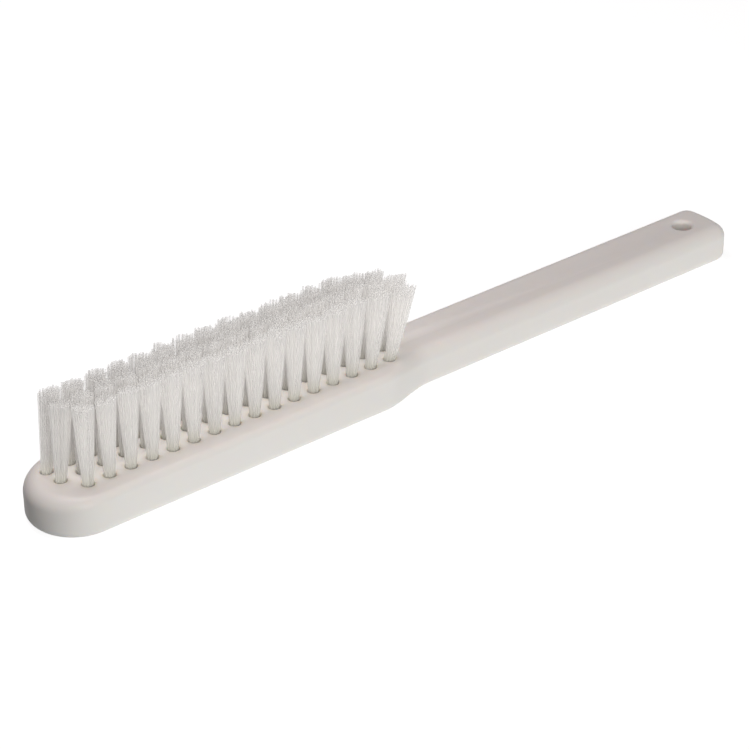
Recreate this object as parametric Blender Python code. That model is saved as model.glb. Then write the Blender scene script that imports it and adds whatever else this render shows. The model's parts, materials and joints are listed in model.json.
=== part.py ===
"""Nylon hand brush: a one-piece white plastic block and handle, with rows of clear nylon tufts.

Frame: X runs along the brush, tip at -X and hang hole at +X. Y runs across it. Z is up, with the flat
back on Z = 0 and the tufts pointing up. The origin is on the back, below the middle of the length.
Each tuft is one node: its folded root, seated in a blind hole of the block, with its strands.
"""
import math
import random

import bmesh
import bpy
from mathutils import Matrix, Vector

# Driving sizes of the moulding, in metres
LENGTH = 0.254
THICKNESS = 0.0120
BLOCK_WIDTH = 0.0280
BLOCK_LENGTH = 0.1298
SHOULDER_LENGTH = 0.0198
HANDLE_WIDTH = 0.0195
END_RADIUS = 0.038
END_CORNER_RADIUS = 0.0047
TIP_TOP_FILLET = 0.0042
TIP_FILLET_LENGTH = 0.018
BLOCK_TOP_FILLET = 0.0019
HANDLE_TOP_FILLET = 0.0042
BOTTOM_FILLET = 0.0025

# Driving sizes of the hang hole
HANG_BORE_RADIUS = 0.0030
HANG_LIP_RADIUS = 0.00125
HANG_HOLE_FROM_END = 0.0126

# Driving sizes of the tufts
ROW_SPACING = 0.0060
TUFT_RADIUS = 0.00155
TUFT_TOP_RADIUS_ALONG = 0.0029
TUFT_TOP_RADIUS_ACROSS = 0.0025
TUFT_HEIGHT = 0.0243
FLOOR_UNDER_TUFTS = 0.0042
ROOT_SINK = 0.0006
STRAND_SLOT = 0.00013
TIP_RAGGEDNESS = 0.0011
TIP_WANDER = 0.00012
TIP_SIZE_SHARE = 0.92

# How much lower a row's last tuft stands. The tuft before it has half of this drop.
END_DROP = 0.0024

# Named clearances
SEAT_GAP = 0.0003
CUT_OVERRUN = 0.0010

# Where each row's first hole lies from the tip, and its last hole before the end of the block
FRONT_FIRST_HOLE = 0.0143
FRONT_LAST_HOLE = 0.0128
MIDDLE_FIRST_HOLE = 0.0096
MIDDLE_LAST_HOLE = 0.0106
BACK_FIRST_HOLE = 0.0090
BACK_LAST_HOLE = 0.0125

# How far along the brush each row's tufts lean at the tip and at the handle, and the extra lean of a
# row's last tuft, of which the tuft before it has half
FRONT_FIRST_LEAN = 0.0002
FRONT_LAST_LEAN = 0.0016
FRONT_EXTRA_LEAN = 0.0034
MIDDLE_FIRST_LEAN = 0.0017
MIDDLE_LAST_LEAN = 0.0032
MIDDLE_EXTRA_LEAN = 0.0015
BACK_LEAN = 0.0030

# Each row of tufts: its name, its tufts, its place across in row spacings, the places of its first
# and last holes, and its leans
ROWS = (
    ("front", 16, -1, (FRONT_FIRST_HOLE, FRONT_LAST_HOLE),
     (FRONT_FIRST_LEAN, FRONT_LAST_LEAN, FRONT_EXTRA_LEAN)),
    ("middle", 17, 0, (MIDDLE_FIRST_HOLE, MIDDLE_LAST_HOLE),
     (MIDDLE_FIRST_LEAN, MIDDLE_LAST_LEAN, MIDDLE_EXTRA_LEAN)),
    ("back", 16, 1, (BACK_FIRST_HOLE, BACK_LAST_HOLE),
     (BACK_LEAN, BACK_LEAN, 0)),
)

# Counts, and the angle past which an edge is sharp
STRANDS_PER_TUFT = 9
HOLE_SIDES = 12
TIP_STEPS = 20
SHOULDER_STEPS = 8
CORNER_STEPS = 5
END_STEPS = 5
FILLET_SEGMENTS = 4
LIP_STEPS = 4
BORE_SIDES = 32
RANDOM_SEED = 7
SHARP_ANGLE = math.radians(35)

# Finishes: name, base colour, roughness and metallic value
WHITE_PLASTIC = ("white_plastic", (0.83, 0.82, 0.79, 1.0), 0.32, 0.0)
CLEAR_NYLON = ("clear_nylon", (0.86, 0.86, 0.84, 1.0), 0.25, 0.0)

# Places worked out from the driving sizes
TIP_X = -LENGTH / 2
END_X = LENGTH / 2
BLOCK_END_X = TIP_X + BLOCK_LENGTH
SHOULDER_X = BLOCK_END_X - SHOULDER_LENGTH
HOLE_FLOOR_Z = FLOOR_UNDER_TUFTS
ROOT_BOTTOM_Z = HOLE_FLOOR_Z + SEAT_GAP
ROOT_TOP_Z = THICKNESS - ROOT_SINK
HOLE_RADIUS = (TUFT_RADIUS + SEAT_GAP) / math.cos(math.pi / HOLE_SIDES)
SPLAY = Vector((TUFT_TOP_RADIUS_ALONG / TUFT_RADIUS, TUFT_TOP_RADIUS_ACROSS / TUFT_RADIUS, 0))


def clear_scene():
    """Remove every object that is in the scene."""
    for item in list(bpy.data.objects):
        bpy.data.objects.remove(item, do_unlink=True)


def make_material(finish):
    """Return a Principled material for a finish."""
    name, colour, roughness, metallic = finish
    material = bpy.data.materials.new(name)
    material.use_nodes = True
    shader = material.node_tree.nodes["Principled BSDF"]
    shader.inputs["Base Color"].default_value = colour
    shader.inputs["Roughness"].default_value = roughness
    shader.inputs["Metallic"].default_value = metallic
    material.diffuse_color = colour
    return material


def add_object(name, mesh_builder, material):
    """Make an object from a bmesh, smooth its round faces, and link it to the scene."""
    mesh = bpy.data.meshes.new(name)
    mesh_builder.to_mesh(mesh)
    mesh_builder.free()
    if material:
        mesh.materials.append(material)
        mesh.shade_smooth()
        mesh.set_sharp_from_angle(angle=SHARP_ANGLE)
    item = bpy.data.objects.new(name, mesh)
    bpy.context.scene.collection.objects.link(item)
    return item


def arc(centre_x, centre_y, radius, start, stop, steps):
    """Return the points of an arc, from one angle to another, both ends included."""
    angles = [start + (stop - start) * step / steps for step in range(steps + 1)]
    return [(centre_x + radius * math.cos(a), centre_y + radius * math.sin(a)) for a in angles]


def ease(share):
    """Return the share smoothed into an S-curve from 0 to 1."""
    return share * share * (3 - 2 * share)


def shoulder_half_width(share):
    """Return the half width along the shoulder, an S-curve from the block to the handle."""
    return BLOCK_WIDTH / 2 + (HANDLE_WIDTH / 2 - BLOCK_WIDTH / 2) * ease(share)


def near_side_outline():
    """Return the plan outline's -Y half, from the block's round tip to the middle of the handle's end."""
    tip_radius = BLOCK_WIDTH / 2
    points = arc(TIP_X + tip_radius, 0, tip_radius, math.pi, 1.5 * math.pi, TIP_STEPS // 2)[1:]
    for step in range(SHOULDER_STEPS + 1):
        share = step / SHOULDER_STEPS
        points.append((SHOULDER_X + SHOULDER_LENGTH * share, -shoulder_half_width(share)))
    # The end is an arc across the handle, and each corner is an arc that touches it and the side
    corner_y = END_CORNER_RADIUS - HANDLE_WIDTH / 2
    reach = math.sqrt((END_RADIUS - END_CORNER_RADIUS) ** 2 - corner_y ** 2)
    end_centre_x = END_X - END_RADIUS
    turn = math.atan2(corner_y, reach)
    points += arc(end_centre_x + reach, corner_y, END_CORNER_RADIUS, -math.pi / 2, turn, CORNER_STEPS)
    points += arc(end_centre_x, 0, END_RADIUS, turn, 0, END_STEPS)[1:]
    return points


def plan_outline():
    """Return the whole plan outline, counter-clockwise from above."""
    near = near_side_outline()
    far = [(x, -y) for x, y in reversed(near[:-1])]
    return near + far + [(TIP_X, 0)]


def inset_outline(depths):
    """Return the plan outline's points, each moved inwards by its own depth."""
    points = [Vector(point) for point in plan_outline()]
    moved = []
    for before, here, after, depth in zip(points[-1:] + points, points, points[1:] + points[:1], depths):
        arriving = (here - before).normalized()
        leaving = (after - here).normalized()
        inward = Vector((-arriving.y - leaving.y, arriving.x + leaving.x)) / (1 + arriving.dot(leaving))
        moved.append(here + inward * depth)
    return moved


def blend(first, last, share):
    """Return the size between two sizes, by a share that is held between 0 and 1 and smoothed."""
    return first + (last - first) * ease(min(max(share, 0), 1))


def top_fillet(x):
    """Return the top rim's fillet radius at a place along the brush: small only on the block's sides."""
    on_block = blend(TIP_TOP_FILLET, BLOCK_TOP_FILLET, (x - TIP_X) / TIP_FILLET_LENGTH)
    return blend(on_block, HANDLE_TOP_FILLET, (x - SHOULDER_X) / SHOULDER_LENGTH)


def add_ring(shape, radii, angle, top):
    """Add one ring of a rounded rim, at an angle that is 0 where the rim meets the side."""
    depths = [radius * (1 - math.cos(angle)) for radius in radii]
    drops = [radius * (1 - math.sin(angle)) for radius in radii]
    points = inset_outline(depths)
    return [shape.verts.new((x, y, THICKNESS - drop if top else drop)) for (x, y), drop in zip(points, drops)]


def build_moulding():
    """Return the block and handle before it is drilled: rings up its rounded rims and its side."""
    shape = bmesh.new()
    angles = [math.pi / 2 * step / FILLET_SEGMENTS for step in range(FILLET_SEGMENTS + 1)]
    top_radii = [top_fillet(x) for x, _ in plan_outline()]
    bottom_radii = [BOTTOM_FILLET for _ in top_radii]
    rings = [add_ring(shape, bottom_radii, angle, False) for angle in reversed(angles)]
    rings += [add_ring(shape, top_radii, angle, True) for angle in angles]
    for low, high in zip(rings, rings[1:]):
        for corners in zip(low, low[1:] + low[:1], high[1:] + high[:1], high):
            shape.faces.new(corners)
    shape.faces.new(rings[0])
    shape.faces.new(rings[-1])
    bmesh.ops.recalc_face_normals(shape, faces=shape.faces)
    return shape


def hang_hole_profile():
    """Return the radius and height of each point down the hang hole's wall, with a rounded lip each end."""
    outer = HANG_BORE_RADIUS + HANG_LIP_RADIUS
    lip = []
    for step in range(LIP_STEPS + 1):
        angle = math.pi / 2 * step / LIP_STEPS
        lip.append((outer - HANG_LIP_RADIUS * math.sin(angle), HANG_LIP_RADIUS * (1 - math.cos(angle))))
    top_lip = [(radius, THICKNESS - depth) for radius, depth in lip]
    bottom_lip = [(radius, depth) for radius, depth in reversed(lip)]
    return [(outer, THICKNESS + CUT_OVERRUN)] + top_lip + bottom_lip + [(outer, -CUT_OVERRUN)]


def build_hang_hole_cutter():
    """Return the turned shape that cuts the hang hole."""
    shape = bmesh.new()
    centre = Vector((END_X - HANG_HOLE_FROM_END, 0, 0))
    profile = [shape.verts.new(centre + Vector((radius, 0, z))) for radius, z in hang_hole_profile()]
    edges = [shape.edges.new(pair) for pair in zip(profile, profile[1:])]
    bmesh.ops.spin(
        shape, geom=profile + edges, cent=centre, axis=(0, 0, 1), angle=2 * math.pi,
        steps=BORE_SIDES, use_merge=True)
    bmesh.ops.holes_fill(shape, edges=[edge for edge in shape.edges if edge.is_boundary])
    bmesh.ops.recalc_face_normals(shape, faces=shape.faces)
    return shape


def hole_centres(row):
    """Return the plan centres of one row's holes."""
    _, count, place, (first, last), _ = row
    start = TIP_X + first
    stop = BLOCK_END_X - last
    return [(start + (stop - start) * i / (count - 1), place * ROW_SPACING) for i in range(count)]


def build_tuft_hole_cutter():
    """Return the prisms that cut every blind tuft hole."""
    shape = bmesh.new()
    top_z = THICKNESS + CUT_OVERRUN
    for row in ROWS:
        for x, y in hole_centres(row):
            middle = Matrix.Translation((x, y, (HOLE_FLOOR_Z + top_z) / 2))
            bmesh.ops.create_cone(
                shape, cap_ends=True, segments=HOLE_SIDES, radius1=HOLE_RADIUS, radius2=HOLE_RADIUS,
                depth=top_z - HOLE_FLOOR_Z, matrix=middle)
    return shape


def cut_with(item, name, cutter_shape):
    """Cut an object with a named, hidden cutter, and leave the Boolean live."""
    cutter = add_object(name, cutter_shape, None)
    cutter.hide_render = True
    cutter.display_type = "WIRE"
    boolean = item.modifiers.new(name, "BOOLEAN")
    boolean.operation = "DIFFERENCE"
    boolean.solver = "EXACT"
    boolean.object = cutter


def make_block_and_handle(material):
    """Make the one-piece moulding with its tuft holes and its hang hole."""
    item = add_object("block_and_handle", build_moulding(), material)
    cut_with(item, "tuft_hole_cutter", build_tuft_hole_cutter())
    cut_with(item, "hang_hole_cutter", build_hang_hole_cutter())


def tuft_crown(row, index):
    """Return the middle of a tuft's top as it leans from its hole, by its row and its place in it."""
    _, count, _, _, (first_lean, last_lean, extra_lean) = row
    x, y = hole_centres(row)[index]
    share = index / (count - 1)
    end_share = max(0, 2 - (count - 1 - index)) / 2
    lean = first_lean + (last_lean - first_lean) * share + extra_lean * end_share
    return Vector((x + lean, y, THICKNESS + TUFT_HEIGHT - END_DROP * end_share))


def grow_strand(shape, seat, foot, crown, chance):
    """Raise one strand from its three-sided seat on the root, splayed outwards from the tuft's line."""
    grown = bmesh.ops.extrude_discrete_faces(shape, faces=[seat])["faces"][0]
    centre = grown.calc_center_median()
    outward = Vector((centre.x - foot.x, centre.y - foot.y, 0))
    wander = Vector((chance.uniform(-1, 1), chance.uniform(-1, 1), 0)) * TIP_WANDER
    drop = Vector((0, 0, TIP_RAGGEDNESS * chance.random()))
    tip = crown + outward * SPLAY + wander - drop
    for vert in grown.verts:
        vert.co = tip + (vert.co - centre) * SPLAY * TIP_SIZE_SHARE


def build_tuft(x, y, crown, chance):
    """Return one tuft: a round root with a three-sided strand on each wedge of its top."""
    shape = bmesh.new()
    depth = ROOT_TOP_Z - ROOT_BOTTOM_Z
    bmesh.ops.create_cone(
        shape, cap_ends=True, segments=STRANDS_PER_TUFT, radius1=TUFT_RADIUS, radius2=TUFT_RADIUS,
        depth=depth, matrix=Matrix.Translation((x, y, ROOT_BOTTOM_Z + depth / 2)))
    cap = max(shape.faces, key=lambda face: face.calc_center_median().z)
    wedges = bmesh.ops.poke(shape, faces=[cap])["faces"]
    bmesh.ops.inset_individual(shape, faces=wedges, thickness=STRAND_SLOT, use_even_offset=True)
    foot = Vector((x, y, ROOT_TOP_Z))
    for seat in wedges:
        grow_strand(shape, seat, foot, crown, chance)
    bmesh.ops.recalc_face_normals(shape, faces=shape.faces)
    return shape


def make_tufts(material):
    """Make every tuft, row by row, each its own object."""
    chance = random.Random(RANDOM_SEED)
    for row in ROWS:
        for index, (x, y) in enumerate(hole_centres(row)):
            shape = build_tuft(x, y, tuft_crown(row, index), chance)
            add_object(f"tuft_{row[0]}_{index + 1:02d}", shape, material)


def main():
    """Build the brush."""
    clear_scene()
    make_block_and_handle(make_material(WHITE_PLASTIC))
    make_tufts(make_material(CLEAR_NYLON))


main()
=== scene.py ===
"""The looks of a nylon hand brush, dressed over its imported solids.

The moulding of block and handle is remade with finer fillets, drilled holes and a rounded hang
hole. Each tuft is remade as a bundle of thin clear filaments that stands in the same hole and
leans the same way. Everything is in metres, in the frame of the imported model: X along the brush
with the tip at -X, and Z up.
"""
import json
import logging
import math
from dataclasses import dataclass, field
from enum import Enum
from typing import Any, Callable, Sequence, Union

import bmesh
import bpy
import numpy as np
from mathutils import Euler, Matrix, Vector

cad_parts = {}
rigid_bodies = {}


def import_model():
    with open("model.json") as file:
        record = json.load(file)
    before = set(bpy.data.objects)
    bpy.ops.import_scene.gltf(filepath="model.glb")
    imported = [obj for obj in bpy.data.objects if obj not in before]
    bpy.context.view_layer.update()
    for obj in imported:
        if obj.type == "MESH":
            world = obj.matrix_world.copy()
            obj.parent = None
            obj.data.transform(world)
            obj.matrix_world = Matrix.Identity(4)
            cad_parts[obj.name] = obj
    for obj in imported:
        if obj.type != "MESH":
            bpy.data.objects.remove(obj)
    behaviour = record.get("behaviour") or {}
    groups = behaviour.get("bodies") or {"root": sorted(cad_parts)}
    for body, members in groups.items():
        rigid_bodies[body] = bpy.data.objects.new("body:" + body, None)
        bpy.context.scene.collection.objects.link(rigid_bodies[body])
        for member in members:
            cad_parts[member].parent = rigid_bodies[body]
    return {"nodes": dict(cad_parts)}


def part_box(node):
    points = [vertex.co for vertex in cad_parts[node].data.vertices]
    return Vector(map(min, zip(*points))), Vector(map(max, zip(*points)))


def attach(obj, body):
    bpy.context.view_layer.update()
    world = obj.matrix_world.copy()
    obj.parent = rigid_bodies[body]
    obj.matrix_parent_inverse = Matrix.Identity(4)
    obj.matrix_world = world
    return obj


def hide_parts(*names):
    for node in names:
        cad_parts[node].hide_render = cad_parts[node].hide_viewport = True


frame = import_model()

LOG = logging.getLogger("hand_brush")
BODY = "root"
MOULDING_NODE = "block_and_handle"
ROW_NAMES = ("front", "middle", "back")
STRAND_MARKS = "strand"
FIRST_SEED = 1000
TRANSPARENT_BOUNCES = 24
DIFFUSE_BOUNCES = 8
WHITE = (1.0, 1.0, 1.0)
MIDDLE_LEVEL = 0.5
GOLDEN_ANGLE = math.pi * (3 - math.sqrt(5))

# Points closer than this are taken as level with each other
TINY = 1e-6

# The photograph's frame and the place of its optical centre in it, in pixels
FRAME_PIXELS = 749
CENTRE_RIGHT_PIXELS = 28.1
CENTRE_DOWN_PIXELS = 0.6

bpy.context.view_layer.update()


class Part(Enum):
    """The kinds of mesh element that can be picked."""

    VERTS = "VERT"
    EDGES = "EDGE"
    FACES = "FACE"


class Slot(Enum):
    """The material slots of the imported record."""

    PLASTIC = "white_plastic"
    NYLON = "clear_nylon"


def add_object(name: str, data: bpy.types.ID) -> bpy.types.Object:
    """Add an object to the scene.

    Args:
        name: Its name.
        data: Its mesh, light or camera.

    Returns:
        The object, at the origin.
    """
    item = bpy.data.objects.new(name, data)
    bpy.context.scene.collection.objects.link(item)
    return item


def look_at_origin(place: Vector) -> Euler:
    """Return the turn with which a lamp or camera at a place looks at the frame's origin."""
    return (-place).to_track_quat("-Z", "Y").to_euler()


class Bench:
    """Holds the piece that is being modelled, and picks parts of it by their place."""

    def __init__(self, item: bpy.types.Object, name: str) -> None:
        """Take a new primitive onto the bench.

        Args:
            item: The primitive, still at its own location.
            name: The piece's name.
        """
        item.name = name
        item.data.name = name
        self.item = item
        bpy.ops.object.transform_apply(location=True, rotation=True, scale=True)

    @staticmethod
    def clear() -> None:
        """Deselect every object, so that an operator acts on the next piece alone."""
        for item in bpy.context.scene.objects:
            item.select_set(False)
        bpy.context.view_layer.objects.active = None

    @classmethod
    def select(cls, items: Sequence[bpy.types.Object]) -> None:
        """Select some objects and nothing else, and make the first one active.

        Args:
            items: The objects.
        """
        cls.clear()
        for item in items:
            item.select_set(True)
        bpy.context.view_layer.objects.active = items[0]

    @classmethod
    def circle(cls, name: str, radius: float, sides: int, centre: Vector) -> "Bench":
        """Start a piece from a circle.

        Args:
            name: The piece's name.
            radius: The circle's radius.
            sides: How many sides it has.
            centre: Its middle.

        Returns:
            The bench with the circle on it.
        """
        cls.clear()
        bpy.ops.mesh.primitive_circle_add(vertices=sides, radius=radius, location=centre)
        return cls(bpy.context.object, name)

    @classmethod
    def cylinder(cls, name: str, radius: float, sides: int, foot: Vector, height: float) -> "Bench":
        """Start a piece from an upright cylinder.

        Args:
            name: The piece's name.
            radius: The cylinder's radius.
            sides: How many sides it has.
            foot: The middle of its lower end.
            height: Its height.

        Returns:
            The bench with the cylinder on it.
        """
        cls.clear()
        middle = foot + Vector((0, 0, height / 2))
        bpy.ops.mesh.primitive_cylinder_add(
            vertices=sides, radius=radius, depth=height, location=middle)
        return cls(bpy.context.object, name)

    def take(self) -> None:
        """Make the piece the only one selected, and the active one."""
        self.select([self.item])

    def open(self) -> None:
        """Enter edit mode on the piece."""
        self.take()
        bpy.ops.object.mode_set(mode="EDIT")

    def close(self) -> None:
        """Leave edit mode."""
        bpy.ops.object.mode_set(mode="OBJECT")

    def pick(self, part: Part, test: Callable[[Any], bool]) -> int:
        """Select exactly the elements that pass a test.

        Args:
            part: The kind of element.
            test: Tells whether an element is wanted.

        Returns:
            How many were picked.
        """
        bpy.ops.mesh.select_mode(type=part.value)
        bpy.ops.mesh.select_all(action="DESELECT")
        shape = bmesh.from_edit_mesh(self.item.data)
        group = {Part.VERTS: shape.verts, Part.EDGES: shape.edges, Part.FACES: shape.faces}[part]
        chosen = [element for element in group if test(element)]
        for element in chosen:
            element.select_set(True)
        shape.select_flush_mode()
        bmesh.update_edit_mesh(self.item.data)
        return len(chosen)

    def pick_level(self, part: Part, level: float) -> int:
        """Select exactly the edges or faces that lie flat at a height, and return how many."""
        return self.pick(
            part, lambda item: all(abs(vert.co.z - level) < TINY for vert in item.verts))

    def apply(self, kind: str, **settings: Any) -> None:
        """Add a modifier to the piece and apply it.

        Args:
            kind: The modifier's type.
            settings: Its properties.
        """
        self.take()
        modifier = self.item.modifiers.new(kind.title(), kind)
        for name, value in settings.items():
            setattr(modifier, name, value)
        bpy.ops.object.modifier_apply(modifier=modifier.name)


Number = Union[float, "Value"]
Colour = Union[Sequence[float], "Value"]


class Value:
    """A number socket of a material, with the arithmetic that shader maths needs."""

    def __init__(self, nodes: "Nodes", socket: bpy.types.NodeSocket) -> None:
        """Wrap a socket.

        Args:
            nodes: The material's node maker.
            socket: The output socket.
        """
        self.nodes = nodes
        self.socket = socket

    def math(self, operation: str, *others: Number) -> "Value":
        """Return the result of a Math node on this value and others."""
        inputs = dict(enumerate((self, *others)))
        return self.nodes.make("ShaderNodeMath", {"operation": operation}, inputs)

    def __add__(self, other: Number) -> "Value":
        """Return the sum."""
        return self.math("ADD", other)

    __radd__ = __add__

    def __mul__(self, other: Number) -> "Value":
        """Return the product."""
        return self.math("MULTIPLY", other)

    __rmul__ = __mul__

    def __sub__(self, other: Number) -> "Value":
        """Return the difference."""
        return self.math("SUBTRACT", other)

    def __rsub__(self, other: float) -> "Value":
        """Return a number less this value."""
        return self * -1.0 + other

    def __truediv__(self, other: Number) -> "Value":
        """Return the quotient."""
        return self.math("DIVIDE", other)

    def step(self, low: float, high: float) -> "Value":
        """Return a smooth step from 0 to 1, which falls where low is above high.

        Args:
            low: Where the step is 0.
            high: Where it is 1.

        Returns:
            The step.
        """
        if low > high:
            return 1.0 - self.step(high, low)
        settings = {"interpolation_type": "SMOOTHSTEP"}
        inputs = {"Value": self, "From Min": low, "From Max": high}
        return self.nodes.make("ShaderNodeMapRange", settings, inputs)

    def between(self, low: float, high: float) -> "Value":
        """Return low where this value is 0, high where it is 1, and a blend of them between."""
        return self * (high - low) + low

    def mixed(self, other: "Value", share: float) -> "Value":
        """Return this value with a share of another in place of that much of it."""
        return self * (1.0 - share) + other * share

    def swing(self, size: float) -> "Value":
        """Return how far this level is from the middle one, made larger or smaller by a size."""
        return (self - MIDDLE_LEVEL) * size


@dataclass(frozen=True)
class Grain:
    """A noise: cells to the metre, octaves, and a scale on each axis, small along a grain."""

    cells: float
    octaves: float = 2.0
    stretch: tuple[float, float, float] = (1.0, 1.0, 1.0)


class Nodes:
    """Makes the nodes of one material or world."""

    def __init__(self, owner: Union[bpy.types.Material, bpy.types.World]) -> None:
        """Empty the owner's node tree.

        Args:
            owner: The material or world.
        """
        owner.use_nodes = True
        self.owner = owner
        self.tree = owner.node_tree
        self.tree.nodes.clear()

    @classmethod
    def material(cls, name: str) -> "Nodes":
        """Start an empty material."""
        return cls(bpy.data.materials.new(name))

    def node(self, kind: str, settings: dict, inputs: dict) -> bpy.types.Node:
        """Add a node.

        Args:
            kind: The node's type.
            settings: Its properties, which are set first.
            inputs: A number, colour or link for each named or numbered socket.

        Returns:
            The node.
        """
        made = self.tree.nodes.new(kind)
        for name, value in settings.items():
            setattr(made, name, value)
        for name, value in inputs.items():
            socket = made.inputs[name]
            if isinstance(value, Value):
                self.tree.links.new(value.socket, socket)
            elif isinstance(value, bpy.types.NodeSocket):
                self.tree.links.new(value, socket)
            else:
                socket.default_value = value
        return made

    def make(self, kind: str, settings: dict, inputs: dict, output: Union[int, str] = 0) -> Value:
        """Add a node and return one of its outputs.

        Args:
            kind: The node's type.
            settings: Its properties.
            inputs: Its sockets' values.
            output: The output's name or number.

        Returns:
            The output, ready for arithmetic.
        """
        return Value(self, self.node(kind, settings, inputs).outputs[output])

    def object_place(self) -> Value:
        """Return the point in the piece's own coordinates, which are the frame's."""
        return self.make("ShaderNodeTexCoord", {}, {}, "Object")

    def axes(self, place: Value) -> tuple[Value, Value]:
        """Return a point's x and y."""
        split = self.node("ShaderNodeSeparateXYZ", {}, {"Vector": place})
        return Value(self, split.outputs["X"]), Value(self, split.outputs["Y"])

    def noise(self, place: Value, grain: Grain) -> Value:
        """Return a noise from 0 to 1 over a place.

        Args:
            place: The coordinates.
            grain: The noise's pattern.

        Returns:
            The noise's level.
        """
        turned = {"Vector": place, "Scale": grain.stretch}
        placed = self.make("ShaderNodeMapping", {"vector_type": "POINT"}, turned)
        inputs = {"Vector": placed, "Scale": grain.cells, "Detail": grain.octaves}
        return self.make("ShaderNodeTexNoise", {}, inputs)

    def blend(self, low: Colour, high: Colour, share: Number) -> Value:
        """Return the mix of two colours."""
        return self.make("ShaderNodeMix", {"data_type": "RGBA"}, {0: share, 6: low, 7: high}, 2)

    def bump(self, height: Value, strength: float, depth: float) -> Value:
        """Return the normal of a relief."""
        inputs = {"Height": height, "Strength": strength, "Distance": depth}
        return self.make("ShaderNodeBump", {}, inputs)

    def mix(self, first: bpy.types.Node, second: bpy.types.Node, share: Number) -> bpy.types.Node:
        """Return the mix of two shaders, by the share of the second."""
        inputs = {0: share, 1: first.outputs[0], 2: second.outputs[0]}
        return self.node("ShaderNodeMixShader", {}, inputs)

    def finish(self, shader: bpy.types.Node) -> Union[bpy.types.Material, bpy.types.World]:
        """Join the last shader to the output.

        Args:
            shader: The last shader.

        Returns:
            The material or world.
        """
        kind = "World" if isinstance(self.owner, bpy.types.World) else "Material"
        self.node("ShaderNodeOutput" + kind, {}, {"Surface": shader.outputs[0]})
        return self.owner


def rgba(colour: Sequence[float], share: float = 1.0) -> tuple[float, float, float, float]:
    """Return a colour, brought down to a share of it, with full opacity."""
    return (colour[0] * share, colour[1] * share, colour[2] * share, 1.0)


@dataclass(frozen=True)
class HoleRow:
    """A straight row of evenly spaced holes."""

    first_x: float
    last_x: float
    y: float
    count: int

    @property
    def pitch(self) -> float:
        """The distance from hole to hole."""
        return (self.last_x - self.first_x) / (self.count - 1)

    @classmethod
    def read(cls, tufts: Sequence["TuftPlace"]) -> "HoleRow":
        """Return the row of holes that a row of tufts stands in."""
        first, last = tufts[0].root, tufts[-1].root
        return cls(first.x, last.x, first.y, len(tufts))


@dataclass(frozen=True)
class PlasticFinish:
    """White moulded plastic: semi-gloss, a little warm and faintly uneven, as a moulding is.

    The plastic drifts between two colours, and shade is painted into it around the tuft holes. A
    share of the light travels under its surface and comes out warmer.
    """

    rows: tuple[HoleRow, ...]
    hole_radius: float
    colour: tuple[float, float, float] = (0.80, 0.785, 0.755)
    flow_colour: tuple[float, float, float] = (0.785, 0.765, 0.735)
    # Painted shade: the darker, browner plastic around each tuft hole, where the shade of its rim
    # falls
    painted_hole_shade: tuple[float, float, float] = (0.70, 0.64, 0.54)
    painted_hole_shade_share: float = 0.45
    painted_hole_shade_reach: float = 0.0014
    roughness: float = 0.40
    gloss: float = 0.25
    refraction: float = 1.49
    subsurface_share: float = 0.40
    subsurface_radius: tuple[float, float, float] = (1.0, 0.75, 0.5)
    subsurface_depth: float = 0.0030
    flow: Grain = Grain(22.0, 3.0, (0.45, 1.0, 1.0))
    mottle: Grain = Grain(260.0)
    peel: Grain = Grain(1500.0)
    scratch: Grain = Grain(4200.0, 1.0, (0.02, 1.0, 1.0))
    mottle_share: float = 0.2
    scratch_share: float = 0.05
    drift_levels: tuple[float, float] = (0.3, 0.72)
    flow_roughness: float = 0.06
    mottle_roughness: float = 0.05
    scratch_roughness: float = 0.03
    relief_strength: float = 0.25
    relief_depth: float = 0.00001

    def painted_hole_shade_mask(self, nodes: Nodes, place: Value) -> Value:
        """Return a mask of painted shade: 1 at the tuft holes, falling to 0 around them.

        Args:
            nodes: The material's node maker.
            place: The point on the moulding.

        Returns:
            The mask.
        """
        x, y = nodes.axes(place)
        hole_shade: Number = 0.0
        for row in self.rows:
            turn = (x - row.first_x) / row.pitch
            inside = turn.math("MAXIMUM", 0.0).math("MINIMUM", float(row.count - 1))
            nearest = inside.math("ROUND")
            along = (turn - nearest) * row.pitch
            across = y - row.y
            distance = (along * along + across * across).math("SQRT")
            mask = distance.step(self.hole_radius + self.painted_hole_shade_reach, self.hole_radius)
            hole_shade = mask if isinstance(hole_shade, float) else mask.math("MAXIMUM", hole_shade)
        return hole_shade

    def build(self) -> bpy.types.Material:
        """Make the material.

        Returns:
            The material.
        """
        nodes = Nodes.material(Slot.PLASTIC.value)
        place = nodes.object_place()
        flow = nodes.noise(place, self.flow)
        mottle = nodes.noise(place, self.mottle)
        peel = nodes.noise(place, self.peel)
        scratch = nodes.noise(place, self.scratch)
        drift = flow.mixed(mottle, self.mottle_share).step(*self.drift_levels)
        body = nodes.blend(rgba(self.colour), rgba(self.flow_colour), drift)
        # Shade painted around the tuft holes
        painted_shade = self.painted_hole_shade_mask(nodes, place) * self.painted_hole_shade_share
        uneven = flow.swing(self.flow_roughness) + mottle.swing(self.mottle_roughness)
        uneven += scratch.swing(self.scratch_roughness)
        relief = peel.mixed(scratch, self.scratch_share)
        shader = nodes.node("ShaderNodeBsdfPrincipled", {}, {
            "Base Color": nodes.blend(body, rgba(self.painted_hole_shade), painted_shade),
            "Roughness": uneven + self.roughness,
            "IOR": self.refraction,
            "Specular IOR Level": self.gloss,
            "Subsurface Weight": self.subsurface_share,
            "Subsurface Radius": self.subsurface_radius,
            "Subsurface Scale": self.subsurface_depth,
            "Normal": nodes.bump(relief, self.relief_strength, self.relief_depth),
        })
        return nodes.finish(shader)


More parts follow.
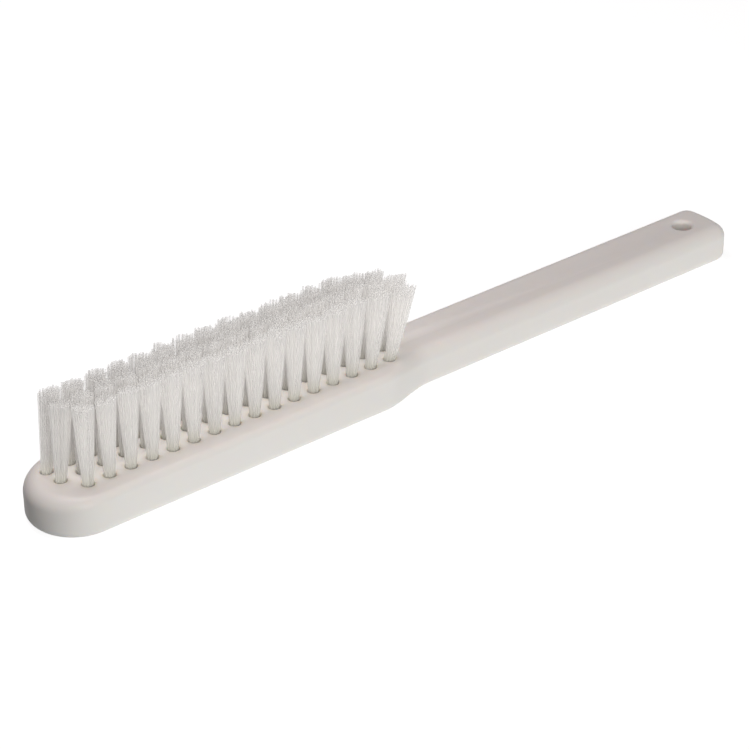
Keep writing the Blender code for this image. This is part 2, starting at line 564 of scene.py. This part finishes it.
@dataclass(frozen=True)
class NylonFinish:
    """Clear nylon filament: each strand a little different, with shade painted into it towards its
    top.

    Each strand has its own cover, between least_alpha and most_alpha. The shadow that it casts is
    much weaker, because clear nylon lets most of the light through.
    """

    clear: tuple[float, float, float] = (0.83, 0.824, 0.812)
    cloudy: tuple[float, float, float] = (0.74, 0.734, 0.724)
    # Painted shade: the colour that the strands darken to towards their tops
    painted_tip_shade: tuple[float, float, float] = (0.60, 0.595, 0.59)
    root: tuple[float, float, float] = (0.84, 0.83, 0.74)
    least_alpha: float = 0.26
    most_alpha: float = 0.44
    foot_shadow: float = 0.04
    crown_shadow: float = 0.17
    through_share: float = 0.6
    refraction: float = 1.53
    streak: Grain = Grain(700.0, 2.0, (1.0, 1.0, 0.02))
    streak_share: float = 0.2
    clear_levels: tuple[float, float] = (0.15, 0.75)
    root_heights: tuple[float, float] = (0.42, 0.22)
    root_share: float = 0.75
    tip_heights: tuple[float, float] = (0.80, 1.0)
    painted_tip_shade_share: float = 0.6
    roughness: float = 0.22
    streak_roughness: float = 0.10
    strand_roughness: float = 0.08
    tip_roughness: float = 0.2

    def build(self, attribute: str) -> bpy.types.Material:
        """Make the material.

        Args:
            attribute: The strands' own attribute: a random level, the share of the height, and a
                second random level.

        Returns:
            The material.
        """
        nodes = Nodes.material(Slot.NYLON.value)
        strand = nodes.node("ShaderNodeAttribute", {"attribute_name": attribute}, {})
        split = nodes.node("ShaderNodeSeparateColor", {}, {"Color": strand.outputs["Color"]})
        level = Value(nodes, split.outputs["Red"])
        height = Value(nodes, split.outputs["Green"])
        other = Value(nodes, split.outputs["Blue"])
        streak = nodes.noise(nodes.object_place(), self.streak)
        clearness = level.mixed(streak, self.streak_share).step(*self.clear_levels)
        near_tip = height.step(*self.tip_heights)
        rooted = height.step(*self.root_heights) * self.root_share
        colour = nodes.blend(rgba(self.cloudy), rgba(self.clear), clearness)
        colour = nodes.blend(colour, rgba(self.root), rooted)
        # Shade painted towards the strands' tops
        colour = nodes.blend(colour, rgba(self.painted_tip_shade), near_tip * self.painted_tip_shade_share)
        roughness = streak.swing(self.streak_roughness) + level * self.strand_roughness
        roughness += near_tip * self.tip_roughness + self.roughness
        front = nodes.node("ShaderNodeBsdfPrincipled", {}, {
            "Base Color": colour,
            "Roughness": roughness,
            "IOR": self.refraction,
        })
        through = nodes.node("ShaderNodeBsdfTranslucent", {}, {"Color": rgba(self.clear)})
        solid = nodes.mix(front, through, self.through_share)
        clear = nodes.node("ShaderNodeBsdfTransparent", {}, {})
        return nodes.finish(nodes.mix(clear, solid, self._cover(nodes, height, other)))

    def _cover(self, nodes: Nodes, height: Value, level: Value) -> Value:
        """Return how much a strand covers, which is less for the shadow that it casts.

        Args:
            nodes: The material's node maker.
            height: The share of the strand's height.
            level: The strand's own random level.

        Returns:
            The cover, from 0 to 1.
        """
        path = nodes.node("ShaderNodeLightPath", {}, {})
        shadow = Value(nodes, path.outputs["Is Shadow Ray"])
        alpha = level.between(self.least_alpha, self.most_alpha)
        dark = height.between(self.foot_shadow, self.crown_shadow)
        return alpha * (1.0 - shadow * (1.0 - dark))


@dataclass(frozen=True)
class TuftPlace:
    """Where one packed tuft stands: the middle of its root's end, and the middle of its top."""

    node: str
    share: float
    root: Vector
    crown: Vector

    @classmethod
    def read(cls, node: str, share: float) -> "TuftPlace":
        """Read a tuft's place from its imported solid.

        Args:
            node: The solid's name.
            share: Its place in its row, from 0 at the tip to 1 at the handle.

        Returns:
            The place.
        """
        points = np.array([vert.co for vert in frame["nodes"][node].data.vertices])
        height = points[:, 2]
        low, high = height.min(), height.max()
        middle = (low + high) / 2
        root = points[height < low + TINY].mean(axis=0)
        tips = points[height > middle]
        return cls(node, share, Vector(root), Vector((tips[:, 0].mean(), tips[:, 1].mean(), high)))


def read_rows() -> list[list[TuftPlace]]:
    """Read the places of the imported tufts.

    Returns:
        The rows of places, from the front to the back, and each from the tip to the handle.
    """
    rows = []
    for name in ROW_NAMES:
        nodes = sorted(node for node in frame["nodes"] if node.startswith(f"tuft_{name}_"))
        last = len(nodes) - 1
        rows.append([TuftPlace.read(node, index / last) for index, node in enumerate(nodes)])
    return rows


@dataclass
class Moulding:
    """The one-piece block and handle, with its tuft holes and its hang hole."""

    tufts: list[TuftPlace]
    block_length: float = 0.1298
    shoulder_length: float = 0.0198
    handle_width: float = 0.0195
    end_radius: float = 0.038
    end_corner_radius: float = 0.0047
    tip_top_fillet: float = 0.0042
    tip_fillet_length: float = 0.018
    block_top_fillet: float = 0.0019
    handle_top_fillet: float = 0.0042
    bottom_fillet: float = 0.0025
    hang_bore_radius: float = 0.0030
    hang_lip_radius: float = 0.00125
    hang_hole_from_end: float = 0.0126
    tuft_hole_radius: float = 0.0019
    tuft_hole_lip: float = 0.0002
    tuft_hole_floor: float = 0.0042
    face_margin: float = 0.0003
    cutter_rise: float = 0.00002
    overrun: float = 0.001
    tip_sides: int = 96
    shoulder_steps: int = 20
    corner_steps: int = 12
    end_steps: int = 8
    fillet_steps: int = 12
    lip_steps: int = 3
    hang_lip_steps: int = 8
    hole_sides: int = 24
    hang_sides: int = 72
    smooth_angle: float = math.radians(34)
    tip_x: float = field(init=False)
    end_x: float = field(init=False)
    width: float = field(init=False)
    thickness: float = field(init=False)
    hang_centre: Vector = field(init=False)
    bench: Bench = field(init=False)

    def __post_init__(self) -> None:
        """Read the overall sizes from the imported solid."""
        low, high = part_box(MOULDING_NODE)
        self.tip_x = low.x
        self.end_x = high.x
        self.width = high.y - low.y
        self.thickness = high.z
        self.hang_centre = Vector((self.end_x - self.hang_hole_from_end, 0, 0))

    def build(self) -> bpy.types.Object:
        """Model the moulding.

        Returns:
            The finished piece.
        """
        self._draw_near_and_far_sides()
        self._draw_handle_end()
        self._raise_and_round()
        self._drill()
        self.bench.take()
        bpy.ops.object.shade_smooth_by_angle(angle=self.smooth_angle)
        return self.bench.item

    def _run_both_sides(self, x: float, width_share: float = 1.0) -> None:
        """Draw both sides on to a place along the brush.

        Args:
            x: The place along the brush.
            width_share: The new width, as a share of the width so far.
        """
        shape = bmesh.from_edit_mesh(self.bench.item.data)
        start = next(vert.co.x for vert in shape.verts if vert.select)
        bpy.ops.mesh.extrude_vertices_move(TRANSFORM_OT_translate={"value": (x - start, 0, 0)})
        bpy.ops.transform.resize(value=(1, width_share, 1), center_override=(x, 0, 0))

    def _draw_near_and_far_sides(self) -> None:
        """Draw the round tip, the block's sides and the S-shaped shoulders down to the handle."""
        half = self.width / 2
        tip_centre = Vector((self.tip_x + half, 0, 0))
        self.bench = Bench.circle("moulding", half, self.tip_sides, tip_centre)
        self.bench.open()
        self.bench.pick(Part.VERTS, lambda vert: vert.co.x > tip_centre.x + TINY)
        bpy.ops.mesh.delete(type="VERT")
        self.bench.pick(Part.VERTS, lambda vert: vert.co.x > tip_centre.x - TINY)
        shoulder_end = self.tip_x + self.block_length
        shoulder_start = shoulder_end - self.shoulder_length
        self._run_both_sides(shoulder_start)
        width = self.width
        for step in range(1, self.shoulder_steps + 1):
            share = step / self.shoulder_steps
            wanted = self.width + (self.handle_width - self.width) * self._ease(share)
            self._run_both_sides(shoulder_start + self.shoulder_length * share, wanted / width)
            width = wanted

    def _draw_handle_end(self) -> None:
        """Draw the handle, turn both corners of its end and close the end with a flat arc."""
        corner_y = self.handle_width / 2 - self.end_corner_radius
        reach = math.sqrt((self.end_radius - self.end_corner_radius) ** 2 - corner_y ** 2)
        end_centre_x = self.end_x - self.end_radius
        corner_x = end_centre_x + reach
        turn = math.atan2(corner_y, reach)
        self._run_both_sides(corner_x)
        for side in (-1, 1):
            self.bench.pick(Part.VERTS, lambda vert: (
                vert.co.x > corner_x - TINY and vert.co.y * side > corner_y + TINY))
            bpy.ops.mesh.spin(
                steps=self.corner_steps, angle=side * (math.pi / 2 - turn), use_auto_merge=False,
                center=(corner_x, side * corner_y, 0), axis=(0, 0, 1))
        far_x = end_centre_x + self.end_radius * math.cos(turn)
        self.bench.pick(Part.VERTS, lambda vert: vert.co.x > far_x - TINY and vert.co.y < 0)
        bpy.ops.mesh.spin(
            steps=2 * self.end_steps, angle=-2 * turn, use_auto_merge=False,
            center=(end_centre_x, 0, 0), axis=(0, 0, 1))

    @staticmethod
    def _ease(share: float) -> float:
        """Return the share smoothed into an S-curve from 0 to 1."""
        return share * share * (3 - 2 * share)

    def _shoulder_share(self, x: float) -> float:
        """Return how far along the shoulders a place is, from 0 on the block to 1 on the handle."""
        share = (x - self.tip_x - self.block_length) / self.shoulder_length + 1
        return min(max(share, 0.0), 1.0)

    def _outward(self, x: float, y: float) -> Vector:
        """Return the direction out of the plan outline, near its rim and short of the handle.

        Args:
            x: The place along the brush.
            y: The place across it.

        Returns:
            The direction, of unit length.
        """
        tip_centre_x = self.tip_x + self.width / 2
        if x < tip_centre_x:
            return Vector((x - tip_centre_x, y, 0)).normalized()
        share = self._shoulder_share(x)
        slope = 3 * share * (1 - share) * (self.handle_width - self.width) / self.shoulder_length
        return Vector((-slope, math.copysign(1.0, y), 0)).normalized()

    def _blend(self, first: float, last: float, share: float) -> float:
        """Return a size between two, by a share that is held between 0 and 1 and smoothed."""
        return first + (last - first) * self._ease(min(max(share, 0.0), 1.0))

    def _top_fillet_share(self, x: float) -> float:
        """Return the size of the top rim's fillet at a place along the brush.

        Args:
            x: The place.

        Returns:
            Its radius, as a share of the handle's.
        """
        painted_tip_shade_share = (x - self.tip_x) / self.tip_fillet_length
        on_block = self._blend(self.tip_top_fillet, self.block_top_fillet, painted_tip_shade_share)
        radius = self._blend(on_block, self.handle_top_fillet, self._shoulder_share(x))
        return radius / self.handle_top_fillet

    def _slim_block_rim(self) -> None:
        """Draw the top fillet together on the block, where it is smaller than on the handle."""
        shape = bmesh.from_edit_mesh(self.bench.item.data)
        radius = self.handle_top_fillet
        for vert in shape.verts:
            drop = self.thickness - vert.co.z
            if drop > radius + TINY:
                continue
            rise_share = 1 - min(drop / radius, 1.0)
            depth = radius * (1 - math.sqrt(1 - rise_share * rise_share))
            outward = self._outward(vert.co.x, vert.co.y)
            share = self._top_fillet_share(vert.co.x + outward.x * depth)
            vert.co += outward * depth * (1 - share)
            vert.co.z = self.thickness - drop * share
        bmesh.update_edit_mesh(self.bench.item.data)

    def _round_rim(self, level: float, radius: float) -> None:
        """Round the rim at a level.

        Args:
            level: The height of its face.
            radius: The fillet's radius.
        """
        self.bench.pick_level(Part.EDGES, level)
        bpy.ops.mesh.bevel(
            offset_type="OFFSET", offset=radius, segments=self.fillet_steps, profile=0.5,
            affect="EDGES")

    def _add_margin(self, level: float) -> None:
        """Add a narrow flat band inside the face at a level, so that it shades flat."""
        self.bench.pick_level(Part.FACES, level)
        bpy.ops.mesh.inset(thickness=self.face_margin, depth=0)

    def _raise_and_round(self) -> None:
        """Fill the outline, raise it to its thickness and round its rims."""
        bpy.ops.mesh.select_mode(type="VERT")
        bpy.ops.mesh.select_all(action="SELECT")
        bpy.ops.mesh.remove_doubles(threshold=10 * TINY)
        bpy.ops.mesh.edge_face_add()
        bpy.ops.mesh.extrude_region_move(TRANSFORM_OT_translate={"value": (0, 0, self.thickness)})
        bpy.ops.mesh.select_all(action="SELECT")
        bpy.ops.mesh.normals_make_consistent(inside=False)
        self._round_rim(0.0, self.bottom_fillet)
        self._add_margin(0.0)
        self._round_rim(self.thickness, self.handle_top_fillet)
        self._slim_block_rim()
        self._add_margin(self.thickness)
        self.bench.close()

    def _flare(self, radius: float, lip: float, steps: int, up: int) -> None:
        """Flare an end of a cutter so that it cuts a rounded lip, then carry it past the face.

        Args:
            radius: The bore's radius, at the selected end.
            lip: The lip's radius.
            steps: The lip's steps.
            up: 1 at an upper face and -1 at a lower one.
        """
        now_radius, now_rise = radius, 0.0
        for step in range(1, steps + 1):
            angle = math.pi / 2 * step / steps
            wide = radius + lip * (1 - math.cos(angle))
            rise = lip * math.sin(angle)
            onward = (0, 0, up * (rise - now_rise))
            bpy.ops.mesh.extrude_region_move(TRANSFORM_OT_translate={"value": onward})
            share = wide / now_radius
            bpy.ops.transform.resize(value=(share, share, 1))
            now_radius, now_rise = wide, rise
        beyond = (0, 0, up * self.overrun)
        bpy.ops.mesh.extrude_region_move(TRANSFORM_OT_translate={"value": beyond})

    def _tuft_hole_cutter(self) -> Bench:
        """Model the cutter of one blind tuft hole, with a flare for its lip.

        Returns:
            The bench with the cutter on it, standing over the origin.
        """
        foot = Vector((0, 0, self.tuft_hole_floor))
        height = self.thickness + self.cutter_rise - self.tuft_hole_lip - self.tuft_hole_floor
        cutter = Bench.cylinder(
            "tuft_hole_cutter", self.tuft_hole_radius, self.hole_sides, foot, height)
        cutter.open()
        cutter.pick_level(Part.FACES, foot.z + height)
        self._flare(self.tuft_hole_radius, self.tuft_hole_lip, self.lip_steps, 1)
        cutter.close()
        return cutter

    def _hang_hole_cutter(self) -> Bench:
        """Model the cutter of the hang hole, flared at both faces.

        Returns:
            The bench with the cutter on it, in its place.
        """
        rise = self.hang_lip_radius - self.cutter_rise
        foot = self.hang_centre + Vector((0, 0, rise))
        height = self.thickness - 2 * rise
        cutter = Bench.cylinder(
            "hang_hole_cutter", self.hang_bore_radius, self.hang_sides, foot, height)
        cutter.open()
        for up, level in ((1, foot.z + height), (-1, foot.z)):
            cutter.pick_level(Part.FACES, level)
            self._flare(self.hang_bore_radius, self.hang_lip_radius, self.hang_lip_steps, up)
        cutter.close()
        return cutter

    def _drill(self) -> None:
        """Cut every tuft hole and the hang hole."""
        first = self._tuft_hole_cutter().item
        copies = []
        for place in self.tufts:
            copy = add_object(first.name, first.data.copy())
            copy.location = (place.root.x, place.root.y, 0)
            copies.append(copy)
        bpy.data.objects.remove(first)
        Bench.select(copies)
        bpy.ops.object.join()
        tuft_holes = bpy.context.object
        for cutter in (tuft_holes, self._hang_hole_cutter().item):
            self.bench.apply("BOOLEAN", operation="DIFFERENCE", solver="EXACT", object=cutter)
            bpy.data.objects.remove(cutter)


@dataclass
class Filament:
    """One nylon filament, modelled once with unit height: a thin prism whose top face is inset."""

    radius: float = 0.00026
    sides: int = 6
    rings: tuple[float, ...] = (0.23, 0.45, 0.70)
    tip_chamfer: float = 0.00008

    def build(self) -> tuple[np.ndarray, list[tuple[int, ...]]]:
        """Model the filament and read its shape.

        Returns:
            Its points, with z from 0 to 1, and its faces as rows of point numbers.
        """
        bench = Bench.cylinder("filament", self.radius, self.sides, Vector(), 1.0)
        bench.open()
        for level in self.rings:
            bpy.ops.mesh.select_all(action="SELECT")
            bpy.ops.mesh.bisect(plane_co=(0, 0, level), plane_no=(0, 0, 1))
        bench.pick_level(Part.FACES, 1.0)
        bpy.ops.mesh.inset(thickness=self.tip_chamfer, depth=0)
        bench.close()
        mesh = bench.item.data
        points = np.array([vert.co for vert in mesh.vertices])
        faces = [tuple(face.vertices) for face in mesh.polygons]
        bpy.data.objects.remove(bench.item)
        return points, faces


@dataclass
class Tuft:
    """A bundle of filaments that fills one hole, spreads towards its ragged top and leans."""

    place: TuftPlace
    chance: np.random.Generator
    filaments: int = 62
    mouth_share: float = 0.235
    root_radius: float = 0.00136
    root_scatter: float = 0.03
    crown_radius_at_tip: float = 0.0031
    crown_radius_at_handle: float = 0.0036
    crown_radius_across: float = 0.0029
    widening: tuple[float, float] = (0.1, 0.4)
    last_reach: float = 0.0006
    clusters: int = 9
    cluster_drift: float = 0.00016
    cluster_drop: float = 0.0011
    ragged_drop: float = 0.0002
    waviness: float = 0.000005
    stray_reach: float = 0.0002
    stray_share: float = 0.05
    orderly_reach_share: float = 0.2
    spread_power: float = 0.85
    smooth_angle: float = math.radians(75)

    def _disc(self) -> np.ndarray:
        """Spread the filaments evenly over a unit disc, slightly disturbed.

        Returns:
            Their places.
        """
        number = np.arange(self.filaments) + 0.5
        turn = number * GOLDEN_ANGLE + self.chance.uniform(0, 2 * math.pi)
        scatter = self.chance.normal(0, self.root_scatter, self.filaments)
        radius = np.sqrt(number / self.filaments) * (1 + scatter)
        return np.stack([radius * np.cos(turn), radius * np.sin(turn)], axis=1)

    def _tops(self, disc: np.ndarray) -> np.ndarray:
        """Find where each filament ends, in a ragged crown of clusters.

        Args:
            disc: The filaments' places in the unit disc.

        Returns:
            The points.
        """
        count = self.filaments
        middles = disc[self.chance.choice(count, self.clusters, replace=False)]
        cluster = ((disc[:, None] - middles) ** 2).sum(axis=2).argmin(axis=1)
        stray = self.chance.random(count) < self.stray_share
        reach = np.where(stray, 1.0, self.orderly_reach_share)
        radii = (self.crown_radius_at_tip, self.crown_radius_at_handle)
        along = np.interp(self.place.share, self.widening, radii)
        aside = disc * (along, self.crown_radius_across)
        if self.place.share == 1:
            aside[:, 0] += self.last_reach * np.maximum(disc[:, 0], 0)
        aside += self.chance.normal(0, self.cluster_drift, (self.clusters, 2))[cluster]
        aside += self.chance.normal(0, self.stray_reach, (count, 2)) * reach[:, None]
        drop = self.cluster_drop * self.chance.random(self.clusters)[cluster]
        drop += self.ragged_drop * self.chance.random(count)
        crown = np.array(self.place.crown)
        return np.column_stack([crown[:2] + aside, crown[2] - drop])

    def build(self, points: np.ndarray, faces: list[tuple[int, ...]]) -> bpy.types.Object:
        """Place every filament of the tuft, copied from the modelled one.

        Args:
            points: The modelled filament's points.
            faces: Its faces.

        Returns:
            The tuft as one piece.
        """
        disc = self._disc()
        tops = self._tops(disc)
        feet = np.array(self.place.root) + np.pad(disc * self.root_radius, ((0, 0), (0, 1)))
        bows = self.chance.normal(0, self.waviness, (self.filaments, 2))
        marks = self.chance.random((self.filaments, 2))
        height = points[:, 2]
        risen = np.maximum(height - self.mouth_share, 0) / (1 - self.mouth_share)
        spread, swell = risen ** self.spread_power, np.sin(math.pi * risen)
        corners, rows, colours = [], [], []
        for foot, top, bow, (level, other) in zip(feet, tops, bows, marks):
            lean = np.outer(spread, (top - foot)[:2]) + np.outer(swell, bow)
            before = len(points) * len(corners)
            rows += [tuple(corner + before for corner in face) for face in faces]
            path = foot[:2] + points[:, :2] + lean
            corners.append(np.column_stack([path, foot[2] + height * (top - foot)[2]]))
            same = np.ones(len(points))
            colours.append(np.column_stack([same * level, height, same * other, same]))
        return self._piece(np.concatenate(corners), rows, np.concatenate(colours))

    def _piece(
            self, points: np.ndarray, rows: list[tuple[int, ...]],
            marks: np.ndarray) -> bpy.types.Object:
        """Make the tuft's piece, with the strands' marks as an attribute.

        Args:
            points: Its points.
            rows: Its faces.
            marks: Each point's level, share of the height, second level and 1.

        Returns:
            The piece.
        """
        name = self.place.node.replace("tuft", "filaments")
        mesh = bpy.data.meshes.new(name)
        mesh.from_pydata(points.tolist(), [], rows)
        colours = mesh.attributes.new(STRAND_MARKS, "FLOAT_COLOR", "POINT")
        colours.data.foreach_set("color", marks.astype(np.float32).ravel())
        item = add_object(name, mesh)
        Bench.select([item])
        bpy.ops.object.shade_smooth_by_angle(angle=self.smooth_angle)
        return item


@dataclass(frozen=True)
class Lamp:
    """A square soft lamp that faces the brush."""

    name: str
    place: tuple[float, float, float]
    side: float
    power: float
    colour: tuple[float, float, float]

    def build(self) -> None:
        """Hang the lamp."""
        data = bpy.data.lights.new(self.name, "AREA")
        data.shape = "SQUARE"
        data.size = self.side
        data.energy = self.power
        data.color = self.colour
        lamp = add_object(self.name, data)
        lamp.location = self.place
        lamp.rotation_euler = look_at_origin(Vector(self.place))


@dataclass
class Studio:
    """The plain pale floor, the soft lamps and the camera.

    The floor looks white to the eye, but it sends light back to the brush only from its lit part,
    in front of the brush. That part's edges are soft: it is unlit at the first value of front_line
    and fully lit at the second, as places across the brush. Towards the tip it ends over tip_line
    in the same way, as values of y less tip_slope times x.
    """

    lamps: tuple[Lamp, ...] = (
        Lamp("key_lamp", (-0.96, -2.65, 1.03), 1.3, 47.5, (1.0, 0.99, 0.98)),
        Lamp("top_lamp", (-0.085, 0.09, 0.47), 0.25, 1.22, (1.0, 0.90, 0.90)),
    )
    camera_distance: float = 0.7286
    azimuth: float = math.radians(-39.495)
    elevation: float = math.radians(30.671)
    focal_pixels: float = 2484.6
    sensor: float = 36.0
    nearest: float = 0.01
    farthest: float = 20.0
    floor_side: float = 6.0
    front_line: tuple[float, float] = (0.004, -0.012)
    tip_slope: float = 1.5
    tip_line: tuple[float, float] = (0.205, 0.135)
    lit_glow: float = 0.85
    unlit_glow: float = 0.02
    floor_glow: float = 0.88
    floor_colour: float = 0.30
    floor_spread: float = 0.02
    floor_grain: Grain = Grain(40.0)
    ambient: float = 0.02

    def build(self) -> None:
        """Make the floor, the world, the lamps and the camera."""
        self._floor()
        self._world()
        for lamp in self.lamps:
            lamp.build()
        self._camera()

    def _camera(self) -> None:
        """Place the camera on the photograph's line of sight."""
        back = Vector((
            math.sin(self.azimuth) * math.cos(self.elevation),
            -math.cos(self.azimuth) * math.cos(self.elevation),
            math.sin(self.elevation)))
        data = bpy.data.cameras.new("camera")
        data.sensor_width = self.sensor
        data.lens = self.focal_pixels * self.sensor / FRAME_PIXELS
        data.shift_x = -CENTRE_RIGHT_PIXELS / FRAME_PIXELS
        data.shift_y = CENTRE_DOWN_PIXELS / FRAME_PIXELS
        data.clip_start, data.clip_end = self.nearest, self.farthest
        camera = add_object("camera", data)
        camera.location = back * self.camera_distance
        camera.rotation_euler = look_at_origin(back)
        bpy.context.scene.camera = camera

    @staticmethod
    def _seen_ray(nodes: Nodes) -> Value:
        """Tell the rays that look at the surroundings from those that light the brush.

        Args:
            nodes: The node maker.

        Returns:
            1 for rays from the camera, or by way of gloss or glass, and 0 for the rest.
        """
        path = nodes.node("ShaderNodeLightPath", {}, {})
        seen = Value(nodes, path.outputs["Is Camera Ray"])
        for name in ("Is Glossy Ray", "Is Transmission Ray"):
            seen = seen.math("MAXIMUM", Value(nodes, path.outputs[name]))
        return seen

    def _floor(self) -> None:
        """Make the floor, which looks white and keeps the brush's shadow."""
        Bench.clear()
        bpy.ops.mesh.primitive_plane_add(size=self.floor_side)
        floor = bpy.context.object
        floor.name = "floor"
        nodes = Nodes.material("floor")
        place = nodes.object_place()
        x, y = nodes.axes(place)
        lit = y.step(*self.front_line) * (y - x * self.tip_slope).step(*self.tip_line)
        sent = nodes.blend(rgba(WHITE, self.unlit_glow), rgba(WHITE, self.lit_glow), lit)
        bounce = nodes.node("ShaderNodeEmission", {}, {"Color": sent})
        palest = self.floor_colour + self.floor_spread
        grain = nodes.noise(place, self.floor_grain)
        paper = nodes.blend(rgba(WHITE, self.floor_colour), rgba(WHITE, palest), grain)
        matt = nodes.node("ShaderNodeBsdfPrincipled", {}, {
            "Base Color": paper, "Specular IOR Level": 0.0, "Roughness": 1.0})
        glow = nodes.node("ShaderNodeEmission", {}, {"Strength": self.floor_glow})
        bright = nodes.node("ShaderNodeAddShader", {}, {0: matt.outputs[0], 1: glow.outputs[0]})
        floor.data.materials.append(
            nodes.finish(nodes.mix(bounce, bright, self._seen_ray(nodes))))

    def _world(self) -> None:
        """Make a world that is white to the eye and lights the brush softly."""
        world = bpy.data.worlds.new("studio")
        nodes = Nodes(world)
        strength = self._seen_ray(nodes).between(self.ambient, 1.0)
        sky = nodes.node("ShaderNodeBackground", {}, {"Color": rgba(WHITE), "Strength": strength})
        bpy.context.scene.world = nodes.finish(sky)


def dress(
        piece: bpy.types.Object, material: bpy.types.Material,
        nodes: Sequence[str]) -> None:
    """Give a piece its finish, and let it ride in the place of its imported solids.

    Args:
        piece: The finished piece.
        material: Its finish.
        nodes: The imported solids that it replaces.
    """
    piece.data.materials.clear()
    piece.data.materials.append(material)
    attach(piece, BODY)
    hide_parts(*nodes)
    LOG.info("%s: %d faces", piece.name, len(piece.data.polygons))


def main() -> None:
    """Build the studio and then the brush, piece by piece."""
    logging.basicConfig(level=logging.INFO, format="%(message)s")
    scene = bpy.context.scene
    scene.view_settings.view_transform = "Standard"
    scene.cycles.transparent_max_bounces = TRANSPARENT_BOUNCES
    scene.cycles.diffuse_bounces = DIFFUSE_BOUNCES
    Studio().build()
    rows = read_rows()
    places = [place for row in rows for place in row]
    moulding = Moulding(places)
    piece = moulding.build()
    hole_rows = tuple(HoleRow.read(row) for row in rows)
    plastic = PlasticFinish(hole_rows, moulding.tuft_hole_radius).build()
    dress(piece, plastic, [MOULDING_NODE])
    nylon = NylonFinish().build(STRAND_MARKS)
    points, faces = Filament().build()
    for number, place in enumerate(places):
        tuft = Tuft(place, np.random.default_rng(FIRST_SEED + number))
        dress(tuft.build(points, faces), nylon, [place.node])


if __name__ == "__main__":
    main()
